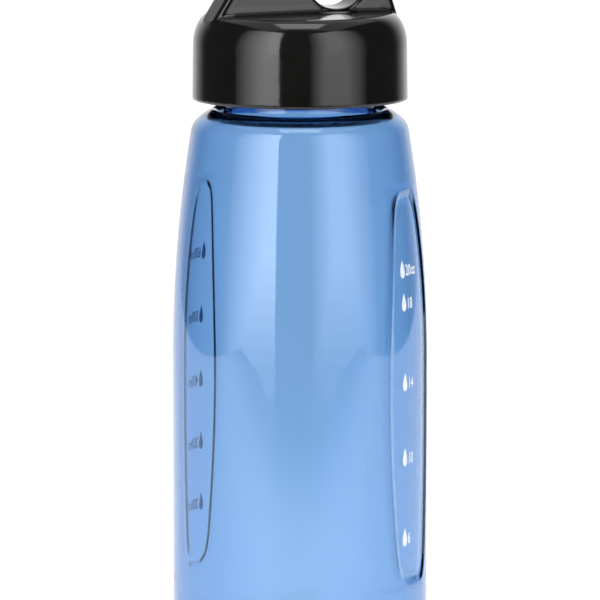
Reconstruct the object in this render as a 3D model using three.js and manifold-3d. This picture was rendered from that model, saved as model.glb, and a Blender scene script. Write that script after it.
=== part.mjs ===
// Sports drinking bottle: a clear blow-moulded bottle with two grip panels, and a glossy screw cap
// whose upright fin is a finger loop on one side and a sprung flip-top nozzle on the other.
// Millimetres, +Z up. The origin is under the middle of the base, and the fin runs along X.
import * as THREE from 'three';
import { mergeVertices } from 'three/addons/utils/BufferGeometryUtils.js';
import Module from 'manifold-3d';

const wasm = await Module();
wasm.setup();

// ---------------------------------------------------------------- driving sizes

const CLEARANCE = 0.3;            // between pieces that touch or slide on each other
const WIDE_CLEARANCE = 0.4;       // between pieces that swing past each other
const SINK = 0.3;                 // how far a rib or boss reaches into what carries it
const OVERSHOOT = 1;              // how far a cutting tool runs past what it cuts

const bottle = {
  radius: 41,
  wall: 2,
  baseCorner: 7,                  // radius of the bottom edge
  standingRing: 5,                // width of the flat ring it stands on
  pushUp: 5,                      // height of the dome under the base
  baseThickness: 2.6,
  taperStart: 99,                 // height where the straight side starts to close in
  shoulderHeight: 171.7,          // height where the taper meets the shoulder
  taper: 5.95,                    // how far the side has closed in by then
  shoulderRise: 7.1,
  shoulderRing: 3.6,              // from the neck out to where the shoulder starts to fall
  neckHeight: 20.7,               // from the top of the shoulder to the rim
};

const panel = {                   // two oval grip panels, opposite each other
  bottom: 27.5,
  height: 126.7,
  width: 28,                      // along the surface
  depth: 1.2,
  tip: 3,                         // half the width of its blunt top and bottom
  narrowing: 0.45,                // how much narrower its sides have drawn in by then
  endPower: 24,                   // how suddenly its ends close; an even number
  angle: -49,                     // degrees from +X to the middle of the first panel
};

const neck = {
  radius: 24.4,
  wall: 2.5,
  rootHeight: 0.5,                // where the fillet at its root starts, above the shoulder
  rootFillet: 1,
  rimChamfer: 0.6,
};

const thread = {
  pitch: 4.5,
  ridge: 1.15,                    // radius of the rounded ridge
  turns: 1.5,
  belowRim: 10.4,                 // where the neck's ridge starts
  space: 0.65,                    // from the neck's ridge to the liner's sleeve
  linerOverhang: 0.1,             // how far the liner's ridge stands in from its sleeve
};

const cap = {
  gasket: { width: 3.9, thickness: 1.8 },
  linerWall: 2,
  linerDeck: 2.2,
  linerRib: 1.6,
  linerRibs: 8,
  linerRibStart: 2.3,             // from the sleeve's bottom up to the ribs
  sleeveStart: 1.5,               // from the skirt's rim up to the sleeve's bottom
  collarWidth: 4.4,
  skirtSpace: 4.2,                // between the liner's sleeve and the skirt
  skirtWall: 2.2,
  skirtFlare: 0.2,
  rimGap: 2.9,                    // from the shoulder up to the skirt's rim
  rimChamfer: 0.4,
  edgeIn: 6.1,                    // the rounded edge between skirt and deck
  edgeDrop: 10.3,
  cornerIn: 3.2,                  // the sloping corner inside that edge
  cornerDrop: 3.6,
  deckEdge: 2.3,                  // deck thickness at that edge
  dome: 0.2,                      // how much higher the deck's middle is
};

const fin = {
  thickness: 12.5,
  edgeRadius: 1,
  overhang: 3.5,                  // how far each end reaches past the flat of the deck
  endRadius: 32.3,                // the round that trims the corners of its two ends
  footDepth: 1.8,                 // how far below the deck the fin's own heights start
  footFillet: 1.4,
  filletInset: 6,                 // from each end of the fin to its foot fillet
  leftLean: 33,                   // degrees from upright, at the nozzle's end
  rightLean: 18,                  // and at the finger hole's end
  leanHeight: 7,                  // height where the left edge starts to straighten up
  leanSweep: 8.5,                 // how much higher the two slopes would meet
  beyondLatch: 0.9,               // from the cover's rib to the straightened left edge
  aboveLoop: 0.4,
  cornerRadius: 6,
  rightCorner: 10,
};

const fingerHole = {
  radius: 10.6,
  rim: 5.5,                       // material around the hole
  aboveFoot: 2.6,
  edgeRadius: 0.4,
};

const nozzle = {
  bore: 5.4,
  wall: 1.5,
  lip: { proud: 0.1, bottom: 2.4, lead: 0.6, top: 0.8, round: 0.6 },
  mouthChamfer: 0.3,
  flange: { radius: 7, thickness: 1.2 },
  gasket: { radius: 6.4, thickness: 1.1, fromBore: 0.5 },
  besideLoop: 0.8,                // from the nozzle to the finger loop
  belowPin: 2.5,                  // from the hinge pin down to the nozzle's mouth
};

const cover = {
  shelf: 15,                      // height of the ledge that the cover closes on
  cheek: 1.5,
  wall: 1.6,
  earRadius: 4,
  lugRadius: 3.6,
  besideNozzle: 3.1,              // from the nozzle's wall to the middle of the hinge pin
  openAngle: 125,
  boss: { radius: 1.6, height: 1.8 },
};

const hinge = {
  pinRadius: 1.1,
  pinRecess: 0.45,
  loopDirection: -45,             // degrees, from the pin to the finger loop
  bridge: { reach: 6, halfHeight: 3 },
  springRadius: 1.8,
  springWire: 0.3,
  springWidth: 3,
  springTurns: 3,
  springRoom: 1.3,                // round the coil, out from its middle line
  springFoot: 3.2,                // the leg that presses on the loop
  footSlot: { depth: 5, from: 0.6, to: 2.6, beside: 0.6 },
};

const plug = {
  padRadius: 3.3,
  padThickness: 0.8,
  padHeight: 1.6,                 // up to where the pad has narrowed to the stem
  stemRadius: 2.5,
  nipple: { radius: 1.9, depth: 0.8, chamfer: 0.4 },
};

const latch = {
  bottom: 8.2,                    // the button's lower face, above the deck
  height: 5.4,
  halfWidth: 3.5,
  proud: 0.6,
  travel: 1.2,
  wallToNozzle: 1.6,
  stem: 1,
  stemHalfWidth: 2.5,
  nose: 1,                        // the hook's reach and its thickness
  rib: 1,
  bite: 0.7,                      // how far the hook lies over the cover's rib
  springRadius: 1.35,
  springWire: 0.25,
  springLength: 4.8,
  springTurns: 5,
};

const vent = {
  offset: 12,                     // from the axis, toward the finger hole
  discRadius: 5,
  discThickness: 0.9,
  lipThickness: 0.3,
  lipWidth: 1,
  stemRadius: 1.4,
  bulbRadius: 2,
  bulbTip: 1.2,
  bulbHeight: 1,
  airHoles: 4,
  airHoleRadius: 0.8,
  airHoleCircle: 3.4,
};

// ---------------------------------------------------------------- places worked out from them

const rad = THREE.MathUtils.degToRad;

const shoulderTop = bottle.shoulderHeight + bottle.shoulderRise;
const neckTop = shoulderTop + bottle.neckHeight;
const neckBore = neck.radius - neck.wall;

const gasketBottom = neckTop + CLEARANCE;
const linerDeckBottom = gasketBottom + cap.gasket.thickness + CLEARANCE;
const linerDeckTop = linerDeckBottom + cap.linerDeck;
const nozzleGasketBottom = linerDeckTop + CLEARANCE;
const flangeBottom = nozzleGasketBottom + nozzle.gasket.thickness + CLEARANCE;
const deckUnderside = flangeBottom + nozzle.flange.thickness + CLEARANCE;

const sleeveInner = neck.radius + thread.ridge + thread.space;
const sleeveOuter = sleeveInner + cap.linerWall;
const skirtInner = sleeveOuter + cap.skirtSpace;
const skirtRadius = skirtInner + cap.skirtWall;
const skirtRim = shoulderTop + cap.rimGap;
const deckEdgeRadius = skirtRadius - cap.edgeIn;
const deckEdgeTop = deckUnderside + cap.deckEdge;
const deckTop = deckEdgeTop + cap.dome;

const halfFin = fin.thickness / 2;
const finFoot = deckTop - fin.footDepth;
const finHalfChord = deckEdgeRadius + fin.overhang;
const holeHeight = fingerHole.aboveFoot + fingerHole.radius;
const loopRadius = fingerHole.radius + fingerHole.rim;
const finHeight = holeHeight + loopRadius + fin.aboveLoop;
const holeCentre = finHalfChord - holeHeight * Math.tan(rad(fin.rightLean))
  - loopRadius / Math.cos(rad(fin.rightLean));

const nozzleRadius = nozzle.bore / 2 + nozzle.wall;
const nozzleCentre = holeCentre - loopRadius - nozzle.besideLoop - nozzleRadius;
const pinCentre = {
  x: nozzleCentre + nozzleRadius + cover.besideNozzle,
  y: finHeight - cover.earRadius,
};
const nozzleTop = pinCentre.y - nozzle.belowPin;
const nozzleHole = nozzleRadius + CLEARANCE;
const nozzleRoom = nozzleRadius + nozzle.lip.proud + CLEARANCE;
const coverRoom = halfFin - cover.cheek;

const pocketEnd = nozzleCentre - nozzleHole - latch.wallToNozzle;
const buttonEnd = pocketEnd - CLEARANCE - latch.travel;
const latchTop = latch.bottom + latch.height;
const ribBottom = cover.shelf + 2 * CLEARANCE;
const noseBottom = ribBottom + latch.rib + CLEARANCE;
const ribEnd = buttonEnd - latch.stem - CLEARANCE;
const buttonHeight = finFoot + (latch.bottom + latchTop) / 2;
const springEnd = pocketEnd - CLEARANCE;

// ---------------------------------------------------------------- solids

// A closed three.js geometry as a solid, with shared vertices merged and slivers dropped.
function solid(geometry) {
  const bare = geometry.clone();
  bare.deleteAttribute('normal');
  bare.deleteAttribute('uv');
  const merged = mergeVertices(bare, 1e-4);
  const index = merged.index.array;
  const triangles = [];
  for (let i = 0; i < index.length; i += 3) {
    const [a, b, c] = [index[i], index[i + 1], index[i + 2]];
    if (a !== b && b !== c && c !== a) triangles.push(a, b, c);
  }
  const vertProperties = Float32Array.from(merged.attributes.position.array);
  const make = (order) => new wasm.Manifold(new wasm.Mesh({
    numProp: 3,
    vertProperties,
    triVerts: Uint32Array.from(order),
  }));
  const body = make(triangles);
  return body.volume() > 0 ? body : make(triangles.reverse());
}

function join(...solids) {
  return solids.reduce((sum, piece) => sum.add(piece));
}

function cut(body, ...tools) {
  return tools.reduce((rest, tool) => rest.subtract(tool), body);
}

// A solid of revolution about Z; the profile is a list of [radius, height].
function turned(profile, segments = 48) {
  const points = profile.map(([radius, height]) => new THREE.Vector2(Math.max(radius, 0), height));
  const closed = profile[0][0] > 0 || profile.at(-1)[0] > 0;
  if (closed) points.push(points[0].clone());
  return solid(new THREE.LatheGeometry(points, segments).rotateX(Math.PI / 2));
}

function cylinder(radius, bottom, top, segments = 32) {
  return turned([[0, bottom], [radius, bottom], [radius, top], [0, top]], segments);
}

function ring(inner, outer, bottom, top, segments = 48) {
  return turned([[inner, bottom], [outer, bottom], [outer, top], [inner, top]], segments);
}

function block(x0, x1, halfWidth, z0, z1) {
  const geometry = new THREE.BoxGeometry(x1 - x0, 2 * halfWidth, z1 - z0);
  return solid(geometry.translate((x0 + x1) / 2, 0, (z0 + z1) / 2));
}

// The fin's own plane: x along the fin, y up from the deck. These lift it into place.
function raised(geometry) {
  return solid(geometry.rotateX(Math.PI / 2).translate(0, 0, finFoot));
}

function prism(shape, halfWidth, bevel = 0) {
  const geometry = new THREE.ExtrudeGeometry(shape, {
    depth: 2 * (halfWidth - bevel),
    steps: 1,
    curveSegments: 16,
    bevelEnabled: bevel > 0,
    bevelSize: bevel,
    bevelThickness: bevel,
    bevelOffset: -bevel,
    bevelSegments: 4,
  });
  return raised(geometry.translate(0, 0, bevel - halfWidth));
}

function finDisc(centre, radius, halfWidth) {
  const shape = new THREE.Shape().absarc(centre.x, centre.y, radius, 0, 2 * Math.PI);
  return prism(shape, halfWidth);
}

function finBlock(x0, x1, y0, y1, halfWidth) {
  return block(x0, x1, halfWidth, finFoot + y0, finFoot + y1);
}

// A block whose corner sits on the hinge pin, turned about the pin by an angle in degrees.
function turnedAboutPin(x0, x1, y0, y1, halfWidth, angle) {
  const geometry = new THREE.BoxGeometry(x1 - x0, y1 - y0, 2 * halfWidth)
    .translate((x0 + x1) / 2, (y0 + y1) / 2, 0)
    .rotateZ(rad(angle))
    .translate(pinCentre.x, pinCentre.y, 0);
  return raised(geometry);
}

class Helix extends THREE.Curve {
  constructor(radius, bottom, pitch, startTurn, endTurn) {
    super();
    Object.assign(this, { radius, bottom, pitch, startTurn, endTurn });
  }

  getPoint(t, target = new THREE.Vector3()) {
    const turn = THREE.MathUtils.lerp(this.startTurn, this.endTurn, t);
    const angle = 2 * Math.PI * turn;
    const height = this.bottom + this.pitch * turn;
    return target.set(this.radius * Math.cos(angle), this.radius * Math.sin(angle), height);
  }
}

function wire(curve, radius, steps, sides = 8) {
  const section = new THREE.Shape().absarc(0, 0, radius, 0, 2 * Math.PI);
  const options = { steps, extrudePath: curve, curveSegments: sides / 2, bevelEnabled: false };
  return new THREE.ExtrudeGeometry(section, options);
}

// A rounded thread ridge with ball ends, which lead one thread into the other.
function threadRidge(radius, bottom, startTurn, endTurn) {
  const helix = new Helix(radius, bottom, thread.pitch, startTurn, endTurn);
  const ridge = solid(wire(helix, thread.ridge, Math.round(36 * (endTurn - startTurn)), 8));
  const ends = [0, 1].map((t) => {
    const { x, y, z } = helix.getPoint(t);
    return solid(new THREE.SphereGeometry(thread.ridge, 12, 8).translate(x, y, z));
  });
  return join(ridge, ...ends);
}

// ---------------------------------------------------------------- bottle

function curvePoints(curve, divisions) {
  return curve.getPoints(divisions).map(({ x, y }) => [x, y]);
}

// The side from the straight wall to the neck, moved inward by a wall thickness.
function sideProfile(inset) {
  const start = bottle.taperStart;
  const end = bottle.shoulderHeight;
  const endRadius = bottle.radius - bottle.taper;
  const slope = 2 * bottle.taper / (end - start);
  const shoulderRadius = neck.radius + bottle.shoulderRing;
  const cornerHeight = end + 0.6 * bottle.shoulderRise;
  const corner = endRadius - slope * (cornerHeight - end);
  const taper = new THREE.QuadraticBezierCurve(
    new THREE.Vector2(bottle.radius - inset, start),
    new THREE.Vector2(bottle.radius - inset, (start + end) / 2),
    new THREE.Vector2(endRadius - inset, end));
  const shoulder = new THREE.QuadraticBezierCurve(
    new THREE.Vector2(endRadius - inset, end),
    new THREE.Vector2(corner - inset, cornerHeight - 0.4 * inset),
    new THREE.Vector2(shoulderRadius - 0.4 * inset, shoulderTop - inset));
  return [...curvePoints(taper, 7), ...curvePoints(shoulder, 6).slice(1)];
}

function outerProfile() {
  const ringOuter = bottle.radius - bottle.baseCorner;
  const ringInner = ringOuter - bottle.standingRing;
  const dome = new THREE.QuadraticBezierCurve(
    new THREE.Vector2(0, bottle.pushUp),
    new THREE.Vector2(0.65 * ringInner, bottle.pushUp),
    new THREE.Vector2(ringInner, 0));
  const corner = new THREE.EllipseCurve(
    ringOuter, bottle.baseCorner, bottle.baseCorner, bottle.baseCorner, -Math.PI / 2, 0);
  const root = neck.rootFillet;
  const rootHeight = shoulderTop + neck.rootHeight;
  const fillet = new THREE.EllipseCurve(
    neck.radius + root, rootHeight + root, root, root, 1.5 * Math.PI, Math.PI, true);
  return [
    ...curvePoints(dome, 5),
    ...curvePoints(corner, 6),
    ...sideProfile(0),
    ...curvePoints(fillet, 4),
    [neck.radius, neckTop - neck.rimChamfer],
    [neck.radius - neck.rimChamfer, neckTop],
    [0, neckTop],
  ];
}

function innerProfile() {
  const radius = bottle.radius - bottle.wall;
  const floor = bottle.baseThickness;
  const bend = bottle.baseCorner - bottle.wall;
  const ringInner = radius - bend - bottle.standingRing;
  const dome = new THREE.QuadraticBezierCurve(
    new THREE.Vector2(0, bottle.pushUp + floor),
    new THREE.Vector2(0.65 * ringInner, bottle.pushUp + floor),
    new THREE.Vector2(ringInner, floor));
  const corner = new THREE.EllipseCurve(radius - bend, floor + bend, bend, bend, -Math.PI / 2, 0);
  return [
    ...curvePoints(dome, 5),
    ...curvePoints(corner, 6),
    ...sideProfile(bottle.wall),
    [neckBore + neck.rootHeight, shoulderTop + neck.rootHeight - bottle.wall],
    [neckBore, shoulderTop + neck.rootFillet],
    [neckBore, neckTop + OVERSHOOT],
    [0, neckTop + OVERSHOOT],
  ];
}

function sideRadius(height) {
  const travel = Math.max(height - bottle.taperStart, 0);
  const share = travel / (bottle.shoulderHeight - bottle.taperStart);
  return bottle.radius - bottle.taper * share * share;
}

// An oval block bent round the bottle, reaching in to `inset` below the outer surface.
// `grow` widens it, for the inside of the wall.
function panelTool(angle, inset, grow) {
  const geometry = new THREE.BoxGeometry(2, 2, 2, 4, 1, 14);
  const position = geometry.attributes.position;
  for (let i = 0; i < position.count; i += 1) {
    const along = Math.sin(position.getZ(i) * Math.PI / 2);
    const height = panel.bottom + (panel.height / 2) * (1 + along) + grow * along;
    const sides = (panel.width / 2 + grow) * (1 - panel.narrowing * along * along);
    const halfWidth = panel.tip + (sides - panel.tip) * Math.cbrt(1 - along ** panel.endPower);
    const surface = sideRadius(height);
    const radius = position.getY(i) < 0 ? surface - inset : surface + OVERSHOOT;
    const turn = rad(angle) + position.getX(i) * halfWidth / surface;
    position.setXYZ(i, radius * Math.cos(turn), radius * Math.sin(turn), height);
  }
  return solid(geometry);
}

function bottleBody() {
  const panelAngles = [panel.angle, panel.angle + 180];
  const outside = cut(turned(outerProfile(), 64),
    ...panelAngles.map((angle) => panelTool(angle, panel.depth, 0)));
  const inside = cut(turned(innerProfile(), 64),
    ...panelAngles.map((angle) => panelTool(angle, panel.depth + bottle.wall, bottle.wall)));
  const ridge = threadRidge(neck.radius, neckTop - thread.belowRim, 0, thread.turns);
  return cut(join(outside, ridge), inside);
}

// ---------------------------------------------------------------- fin outline

// The fin seen from its side, grown outward by `grow` (inward when negative).
function finOutline(grow = 0) {
  const left = -finHalfChord;
  const leftTan = Math.tan(rad(fin.leftLean));
  const rightTan = Math.tan(rad(fin.rightLean));
  const foot = deckUnderside - finFoot + SINK;
  const leanX = left + leftTan * fin.leanHeight;
  const bendHeight = finHeight - fin.cornerRadius;
  const bendX = ribEnd - fin.beyondLatch;
  const rightTop = finHeight - fin.rightCorner;
  const shape = new THREE.Shape();
  shape.moveTo(left + leftTan * foot, foot);
  shape.lineTo(finHalfChord - rightTan * foot, foot);
  shape.lineTo(finHalfChord - rightTan * rightTop, rightTop);
  shape.quadraticCurveTo(
    finHalfChord - rightTan * finHeight, finHeight,
    finHalfChord - rightTan * finHeight - fin.rightCorner, finHeight);
  shape.lineTo(bendX + fin.cornerRadius, finHeight);
  shape.quadraticCurveTo(bendX, finHeight, bendX, bendHeight);
  shape.quadraticCurveTo(
    leanX + fin.leanSweep * leftTan, fin.leanHeight + fin.leanSweep, leanX, fin.leanHeight);
  shape.closePath();
  return grow === 0 ? shape : grown(shape, grow);
}

// The same outline, with every point moved outward along the outline's normal there.
function grown(shape, distance) {
  const points = shape.getPoints(16).filter((point, i, all) => point.distanceTo(all.at(i - 1)) > 1e-6);
  return new THREE.Shape(points.map((point, i) => {
    const before = point.clone().sub(points.at(i - 1)).normalize();
    const after = points[(i + 1) % points.length].clone().sub(point).normalize();
    const along = before.clone().add(after).normalize();
    const reach = distance / Math.max(along.dot(before), 0.5);
    return new THREE.Vector2(point.x + along.y * reach, point.y - along.x * reach);
  }));
}

// Where the flip cover is: above the shelf, left of the finger loop, and round the hinge pin.
function coverZone(clearance) {
  const shelf = cover.shelf + CLEARANCE - clearance;
  const left = -2 * finHalfChord;
  const aboveShelf = finBlock(left, pinCentre.x, shelf, 2 * finHeight, fin.thickness);
  const loop = finDisc({ x: holeCentre, y: holeHeight }, loopRadius + WIDE_CLEARANCE - clearance,
    fin.thickness);
  const ear = finDisc(pinCentre, cover.earRadius + clearance, fin.thickness);
  return join(cut(aboveShelf, loop), ear);
}

// The finger hole, with its edges rounded out at both faces.
function fingerHoleTool() {
  const { radius, edgeRadius } = fingerHole;
  const flare = new THREE.EllipseCurve(
    radius + edgeRadius, halfFin - edgeRadius, edgeRadius, edgeRadius, Math.PI, Math.PI / 2, true);
  const half = curvePoints(flare, 4);
  const profile = [
    [0, -halfFin - OVERSHOOT],
    [radius + edgeRadius, -halfFin - OVERSHOOT],
    ...half.map(([x, y]) => [x, -y]).reverse(),
    ...half,
    [radius + edgeRadius, halfFin + OVERSHOOT],
    [0, halfFin + OVERSHOOT],
  ];
  const points = profile.map(([x, y]) => new THREE.Vector2(x, y));
  const geometry = new THREE.LatheGeometry(points, 64).rotateX(Math.PI / 2);
  return raised(geometry.translate(holeCentre, holeHeight, 0));
}

// The fin's slab, which swells round a nozzle that is too wide for its thickness.
function finSlab() {
  const swell = cylinder(nozzleRoom + cover.cheek, deckTop, finFoot + finHeight - fin.edgeRadius);
  const round = cylinder(fin.endRadius, deckUnderside, finFoot + finHeight + OVERSHOOT, 96);
  const slab = prism(finOutline(), halfFin, fin.edgeRadius).intersect(round);
  return cut(join(slab, swell.translate(nozzleCentre, 0, 0)), fingerHoleTool());
}

// A concave fillet along one side of the fin's foot.
function footFillet(side) {
  const radius = fin.footFillet;
  const shape = new THREE.Shape();
  shape.moveTo(-SINK, -SINK - cap.dome);
  shape.lineTo(radius, -SINK - cap.dome);
  shape.lineTo(radius, -0.1);
  shape.absarc(radius, radius - 0.1, radius, 1.5 * Math.PI, Math.PI, true);
  shape.lineTo(-SINK, radius);
  shape.closePath();
  const length = 2 * (finHalfChord - fin.filletInset);
  const options = { depth: length, steps: 1, curveSegments: 6, bevelEnabled: false };
  const geometry = new THREE.ExtrudeGeometry(shape, options)
    .translate(0, 0, -length / 2)
    .rotateX(Math.PI / 2)
    .rotateZ(Math.PI / 2);
  if (side < 0) geometry.rotateZ(Math.PI);
  return solid(geometry.translate(0, side * halfFin, deckTop));
}

// ---------------------------------------------------------------- cap

function capProfile() {
  const edge = new THREE.EllipseCurve(deckEdgeRadius, deckEdgeTop - cap.edgeDrop,
    cap.edgeIn - cap.skirtFlare, cap.edgeDrop, 0, Math.PI / 2);
  const dome = [0.5, 0].map((share) => [
    share * deckEdgeRadius, deckTop - cap.dome * share * share]);
  return [
    [skirtInner, skirtRim],
    [skirtRadius - cap.rimChamfer, skirtRim],
    [skirtRadius, skirtRim + cap.rimChamfer],
    ...curvePoints(edge, 8),
    ...dome,
    [0, deckUnderside],
    [skirtInner - cap.cornerIn, deckUnderside],
    [skirtInner, deckUnderside - cap.cornerDrop],
    [skirtInner, skirtRim],
  ];
}

function hingeLugs() {
  const halfWidth = coverRoom - WIDE_CLEARANCE;
  const springRoom = hinge.springWidth / 2 + hinge.springWire + CLEARANCE;
  const round = finDisc(pinCentre, cover.lugRadius, halfWidth);
  const { reach, halfHeight } = hinge.bridge;
  const bridge = turnedAboutPin(0, reach, -halfHeight, halfHeight, halfWidth, hinge.loopDirection);
  const lugs = join(round, bridge).intersect(finSlab());
  return cut(lugs,
    finDisc(pinCentre, hinge.springRadius + hinge.springRoom, springRoom),
    turnedAboutPin(-reach, 0, -hinge.springWire, cover.earRadius, springRoom, 0));
}

function capShell() {
  const deck = new THREE.LatheGeometry(capProfile().map(([x, y]) => new THREE.Vector2(x, y)), 72);
  const restNotch = turnedAboutPin(
    -30, 0, -cover.earRadius, cover.earRadius + CLEARANCE, fin.thickness, -cover.openAngle);
  const loop = cut(finSlab(), coverZone(WIDE_CLEARANCE), restNotch);
  const shell = join(
    solid(deck.rotateX(Math.PI / 2)), footFillet(1), footFillet(-1), loop, hingeLugs());
  const slot = hinge.footSlot;
  const footSlot = turnedAboutPin(0, slot.depth, slot.from, slot.to,
    hinge.springWidth / 2 + slot.beside, hinge.loopDirection);
  const nozzlePassage = cylinder(
    nozzleHole, deckUnderside - OVERSHOOT, finFoot + cover.shelf + OVERSHOOT);
  const pocket = finBlock(-2 * finHalfChord, pocketEnd,
    latch.bottom - CLEARANCE, latchTop + CLEARANCE, latch.halfWidth + CLEARANCE);
  const stemSlot = finBlock(ribEnd, pocketEnd,
    latchTop, cover.shelf + OVERSHOOT, latch.stemHalfWidth + CLEARANCE);
  const pinHole = finDisc(pinCentre, hinge.pinRadius + CLEARANCE, coverRoom);
  return cut(shell, footSlot, nozzlePassage.translate(nozzleCentre, 0, 0), pocket, stemSlot, pinHole);
}

// The threaded insert: a sleeve on the neck, a sealed deck, and ribs that centre it in the skirt.
function capLiner() {
  const outer = skirtInner - CLEARANCE;
  const collarInner = outer - cap.collarWidth;
  const collarTop = deckUnderside - CLEARANCE;
  const sleeveBottom = skirtRim + cap.sleeveStart;
  const body = turned([
    [sleeveInner, sleeveBottom],
    [sleeveOuter, sleeveBottom],
    [sleeveOuter, linerDeckBottom],
    [outer, linerDeckBottom],
    [outer, collarTop - cap.cornerDrop],
    [outer - cap.cornerIn, collarTop],
    [collarInner, collarTop],
    [collarInner, linerDeckTop],
    [0, linerDeckTop],
    [0, linerDeckBottom],
    [sleeveInner, linerDeckBottom],
  ], 64);
  const ribs = Array.from({ length: cap.linerRibs }, (_, i) => {
    const rib = block(sleeveOuter - SINK, outer, cap.linerRib / 2,
      sleeveBottom + cap.linerRibStart, linerDeckBottom + SINK);
    return rib.rotate(0, 0, 360 * i / cap.linerRibs);
  });
  const ridge = threadRidge(sleeveInner - thread.linerOverhang,
    neckTop - thread.belowRim - thread.pitch / 2, 0, thread.turns);
  const deckHole = (radius, x, y, segments) => cylinder(
    radius, linerDeckBottom - OVERSHOOT, linerDeckTop + OVERSHOOT, segments).translate(x, y, 0);
  const airHoles = Array.from({ length: vent.airHoles }, (_, i) => {
    const angle = 2 * Math.PI * (i + 0.5) / vent.airHoles;
    return deckHole(vent.airHoleRadius, vent.offset + vent.airHoleCircle * Math.cos(angle),
      vent.airHoleCircle * Math.sin(angle), 12);
  });
  return cut(join(body, ridge, ...ribs),
    deckHole(nozzle.bore / 2 + CLEARANCE, nozzleCentre, 0),
    deckHole(vent.stemRadius + CLEARANCE, vent.offset, 0),
    ...airHoles);
}

function capGasket() {
  return ring(neckBore, neckBore + cap.gasket.width, gasketBottom,
    gasketBottom + cap.gasket.thickness, 64);
}

function ventValve() {
  const discTop = linerDeckBottom - CLEARANCE;
  const bulbBottom = linerDeckTop + CLEARANCE;
  return turned([
    [0, discTop - vent.discThickness],
    [vent.discRadius - vent.lipWidth, discTop - vent.discThickness],
    [vent.discRadius, discTop - vent.lipThickness],
    [vent.discRadius, discTop],
    [vent.stemRadius, discTop],
    [vent.stemRadius, bulbBottom],
    [vent.bulbRadius, bulbBottom],
    [vent.bulbTip, bulbBottom + vent.bulbHeight],
    [0, bulbBottom + vent.bulbHeight],
  ], 32).translate(vent.offset, 0, 0);
}

// ---------------------------------------------------------------- nozzle

function drinkingNozzle() {
  const bore = nozzle.bore / 2;
  const mouth = finFoot + nozzleTop;
  const flangeTop = flangeBottom + nozzle.flange.thickness;
  const { lip, mouthChamfer } = nozzle;
  return turned([
    [bore, flangeBottom],
    [nozzle.flange.radius, flangeBottom],
    [nozzle.flange.radius, flangeTop],
    [nozzleRadius, flangeTop],
    [nozzleRadius, mouth - lip.bottom],
    [nozzleRadius + lip.proud, mouth - lip.bottom + lip.lead],
    [nozzleRadius + lip.proud, mouth - lip.top],
    [nozzleRadius - lip.round, mouth],
    [bore + mouthChamfer, mouth],
    [bore, mouth - mouthChamfer],
  ], 40).translate(nozzleCentre, 0, 0);
}

function nozzleGasket() {
  const { radius, thickness, fromBore } = nozzle.gasket;
  return ring(nozzle.bore / 2 + fromBore, radius, nozzleGasketBottom,
    nozzleGasketBottom + thickness, 40).translate(nozzleCentre, 0, 0);
}

// ---------------------------------------------------------------- flip cover

function flipCover() {
  const roof = finHeight - cover.wall;
  const hood = finSlab().intersect(coverZone(0));
  const inside = join(prism(finOutline(-cover.wall), coverRoom),
    cylinder(nozzleRoom, finFoot, finFoot + roof).translate(nozzleCentre, 0, 0));
  const overLugs = finBlock(pinCentre.x - cover.lugRadius, 2 * finHalfChord, 0,
    finHeight + OVERSHOOT, coverRoom);
  const rib = finBlock(-2 * finHalfChord, ribEnd, ribBottom, ribBottom + latch.rib, coverRoom)
    .intersect(prism(finOutline(-cover.wall / 2), coverRoom));
  const noseRoom = finBlock(ribEnd - latch.bite - CLEARANCE, pocketEnd,
    noseBottom, noseBottom + latch.nose + CLEARANCE, latch.stemHalfWidth + CLEARANCE);
  const boss = cylinder(
    cover.boss.radius, finFoot + roof - cover.boss.height, finFoot + roof + SINK);
  const pinHole = finDisc(pinCentre, hinge.pinRadius + CLEARANCE, fin.thickness);
  return cut(join(cut(hood, inside, overLugs, noseRoom), rib, boss.translate(nozzleCentre, 0, 0)),
    pinHole);
}

function coverPlug() {
  const roof = finFoot + finHeight - cover.wall;
  const pad = finFoot + nozzleTop + CLEARANCE;
  const top = roof - CLEARANCE;
  const socket = cover.boss.radius + CLEARANCE;
  const socketBottom = roof - cover.boss.height - CLEARANCE;
  return turned([
    [0, pad - plug.nipple.depth],
    [plug.nipple.radius - plug.nipple.chamfer, pad - plug.nipple.depth],
    [plug.nipple.radius, pad],
    [plug.padRadius, pad],
    [plug.padRadius, pad + plug.padThickness],
    [plug.stemRadius, pad + plug.padHeight],
    [plug.stemRadius, top],
    [socket, top],
    [socket, socketBottom],
    [0, socketBottom],
  ], 32).translate(nozzleCentre, 0, 0);
}

function hingePin() {
  return finDisc(pinCentre, hinge.pinRadius, halfFin - hinge.pinRecess);
}

// A torsion spring on the pin: one leg against the loop, the other under the cover's roof.
function coverSpring() {
  const { springRadius: radius, springWidth: width } = hinge;
  const startAngle = -rad(hinge.loopDirection);
  const endAngle = rad(90 + 360 * hinge.springTurns);
  const steps = 16 * hinge.springTurns;
  const coil = Array.from({ length: steps + 1 }, (_, i) => {
    const angle = THREE.MathUtils.lerp(startAngle, endAngle, i / steps);
    return new THREE.Vector3(
      radius * Math.cos(angle), radius * Math.sin(angle), width * (i / steps - 0.5));
  });
  const legDown = (length) => coil[0].clone()
    .add(new THREE.Vector3(Math.sin(startAngle), -Math.cos(startAngle), 0).multiplyScalar(length));
  const legLeft = (length) => coil.at(-1).clone().add(new THREE.Vector3(-length, 0, 0));
  const path = new THREE.CatmullRomCurve3(
    [legDown(hinge.springFoot), legDown(hinge.springFoot / 2), ...coil,
      legLeft(springLegLength() / 2), legLeft(springLegLength())]);
  const spring = wire(path, hinge.springWire, 72, 6);
  return raised(spring.translate(pinCentre.x, pinCentre.y, 0));
}

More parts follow.
